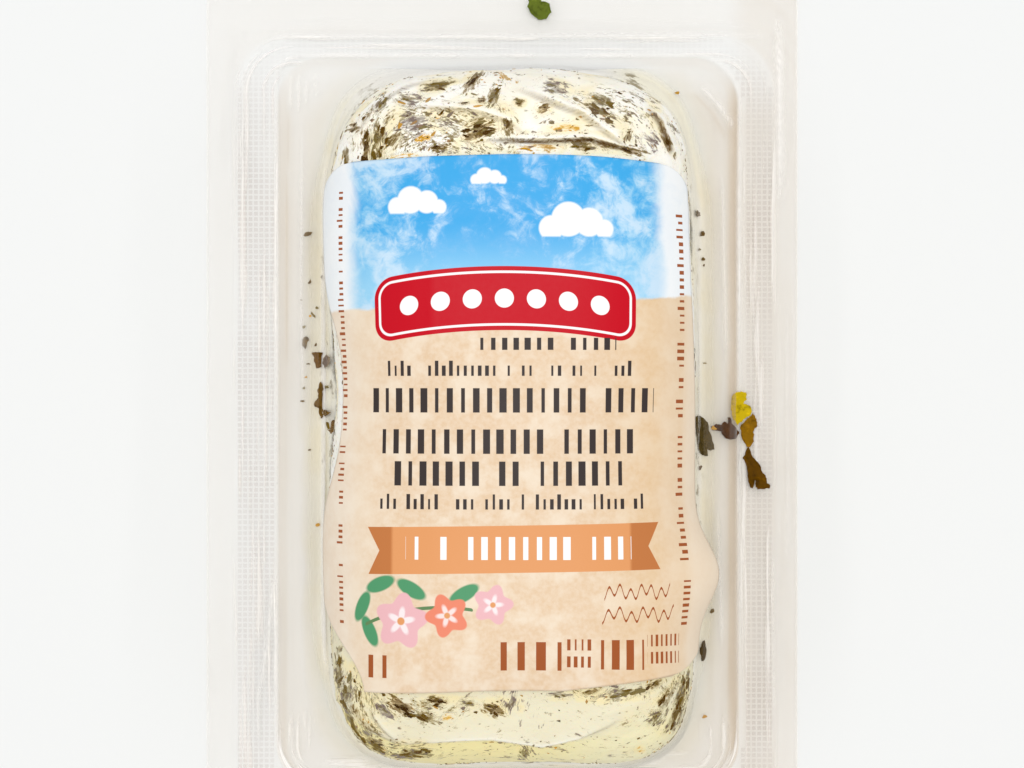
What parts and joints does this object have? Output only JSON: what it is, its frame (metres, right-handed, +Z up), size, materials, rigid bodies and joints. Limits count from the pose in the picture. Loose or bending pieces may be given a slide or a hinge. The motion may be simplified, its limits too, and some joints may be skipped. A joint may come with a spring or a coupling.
{
  "type": "vacuum-packed soft goat cheese",
  "caption": "Soft white cheese block coated in herb flakes, vacuum-packed between two clear films with a sealed flange all round and a printed paper label over the top.",
  "frame": {"origin": "on the table, under the middle of the pack's flat underside", "axes": "+Z up out of the label, +Y along the pack towards the label's blue end, +X to the right as the label is looked at"},
  "size_m": [0.0826, 0.1246, 0.0303],
  "materials": {
    "film_back": "clear glossy flat film, with a fine knurl pressed into the seal band",
    "cheese": "moist ivory soft cheese, coated with dark green and brown herb flakes",
    "film_clear": "clear glossy film, tight over the block, creased at its ends and knurled in the seal",
    "label_paper": "satin coated paper printed with blue, kraft, red and orange fields"
  },
  "bodies": {
    "root": {"back_film": "film_back", "cheese_block": "cheese", "formed_film": "film_clear", "paper_label": "label_paper"}
  },
  "joints": []
}
